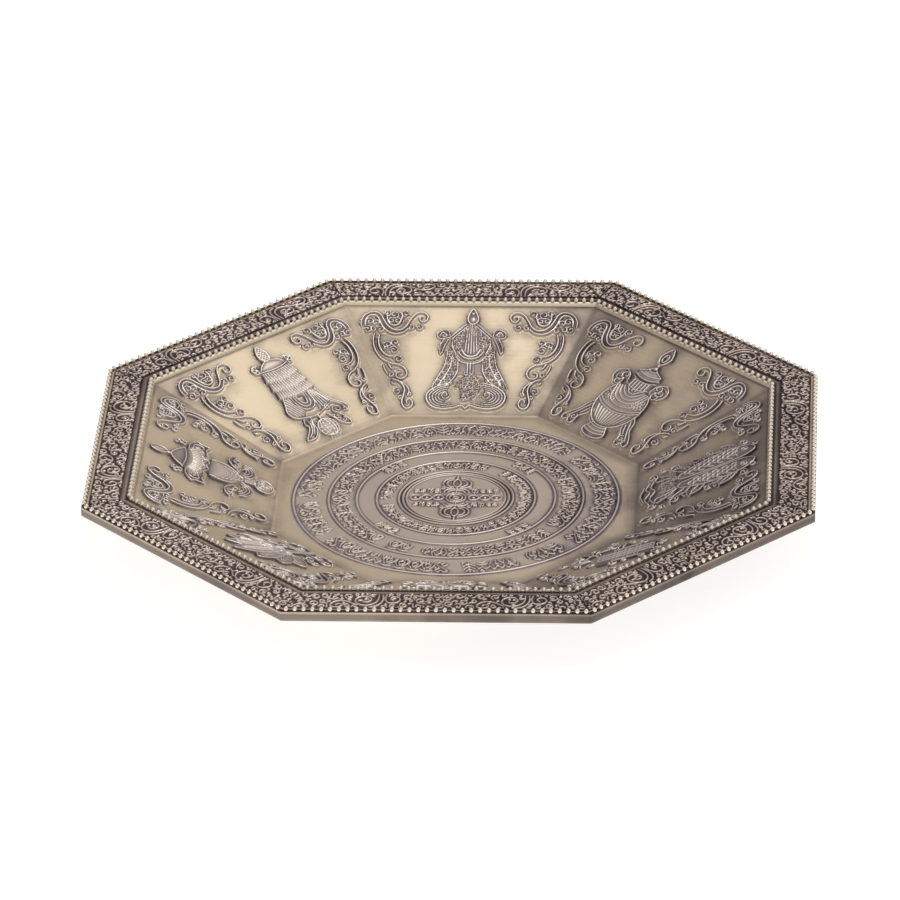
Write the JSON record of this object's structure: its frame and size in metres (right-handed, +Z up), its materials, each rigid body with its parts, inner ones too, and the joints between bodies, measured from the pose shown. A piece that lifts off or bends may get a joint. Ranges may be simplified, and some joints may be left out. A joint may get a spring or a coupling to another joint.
{
  "type": "buddhist fire offering tray",
  "caption": "Eight-sided shallow metal offering tray with a flat ringed floor, relief panels, scroll frieze and beaded rim.",
  "frame": {"origin": "centre of the flat underside that the tray rests on", "axes": "+Z up out of the dish, -Y towards the flat side that faces the viewer in the picture, +X to the viewer's right"},
  "size_m": [0.2, 0.2, 0.0213],
  "materials": {
    "dish_brass": "satin antiqued casting, brushed on the skirt and riser",
    "bead_brass": "polished high points with dark patina between the beads",
    "frieze_brass": "antiqued relief, dark patina in the ground",
    "symbol_brass": "antiqued relief, rubbed bright on its edges",
    "scroll_brass": "antiqued relief, rubbed bright on its edges",
    "medallion_brass": "antiqued relief on a satin ground"
  },
  "bodies": {
    "root": {"tray_shell": "dish_brass", "front_outer_bead_rail": "bead_brass", "front_inner_bead_rail": "bead_brass", "front_frieze": "frieze_brass", "front_right_outer_bead_rail": "bead_brass", "front_right_inner_bead_rail": "bead_brass", "front_right_frieze": "frieze_brass", "right_outer_bead_rail": "bead_brass", "right_inner_bead_rail": "bead_brass", "right_frieze": "frieze_brass", "back_right_outer_bead_rail": "bead_brass", "back_right_inner_bead_rail": "bead_brass", "back_right_frieze": "frieze_brass", "back_outer_bead_rail": "bead_brass", "back_inner_bead_rail": "bead_brass", "back_frieze": "frieze_brass", "back_left_outer_bead_rail": "bead_brass", "back_left_inner_bead_rail": "bead_brass", "back_left_frieze": "frieze_brass", "left_outer_bead_rail": "bead_brass", "left_inner_bead_rail": "bead_brass", "left_frieze": "frieze_brass", "front_left_outer_bead_rail": "bead_brass", "front_left_inner_bead_rail": "bead_brass", "front_left_frieze": "frieze_brass", "dharma_wheel": "symbol_brass", "dharma_wheel_left_scroll": "scroll_brass", "dharma_wheel_right_scroll": "scroll_brass", "endless_knot": "symbol_brass", "endless_knot_left_scroll": "scroll_brass", "endless_knot_right_scroll": "scroll_brass", "pair_of_fish": "symbol_brass", "pair_of_fish_left_scroll": "scroll_brass", "pair_of_fish_right_scroll": "scroll_brass", "treasure_vase": "symbol_brass", "treasure_vase_left_scroll": "scroll_brass", "treasure_vase_right_scroll": "scroll_brass", "conch_shell": "symbol_brass", "conch_shell_left_scroll": "scroll_brass", "conch_shell_right_scroll": "scroll_brass", "victory_banner": "symbol_brass", "victory_banner_left_scroll": "scroll_brass", "victory_banner_right_scroll": "scroll_brass", "parasol": "symbol_brass", "parasol_left_scroll": "scroll_brass", "parasol_right_scroll": "scroll_brass", "lotus": "symbol_brass", "lotus_left_scroll": "scroll_brass", "lotus_right_scroll": "scroll_brass", "outer_floor_ring": "medallion_brass", "second_floor_ring": "medallion_brass", "third_floor_ring": "medallion_brass", "fourth_floor_ring": "medallion_brass", "emblem_ring": "medallion_brass", "vajra_emblem": "medallion_brass"}
  },
  "joints": []
}
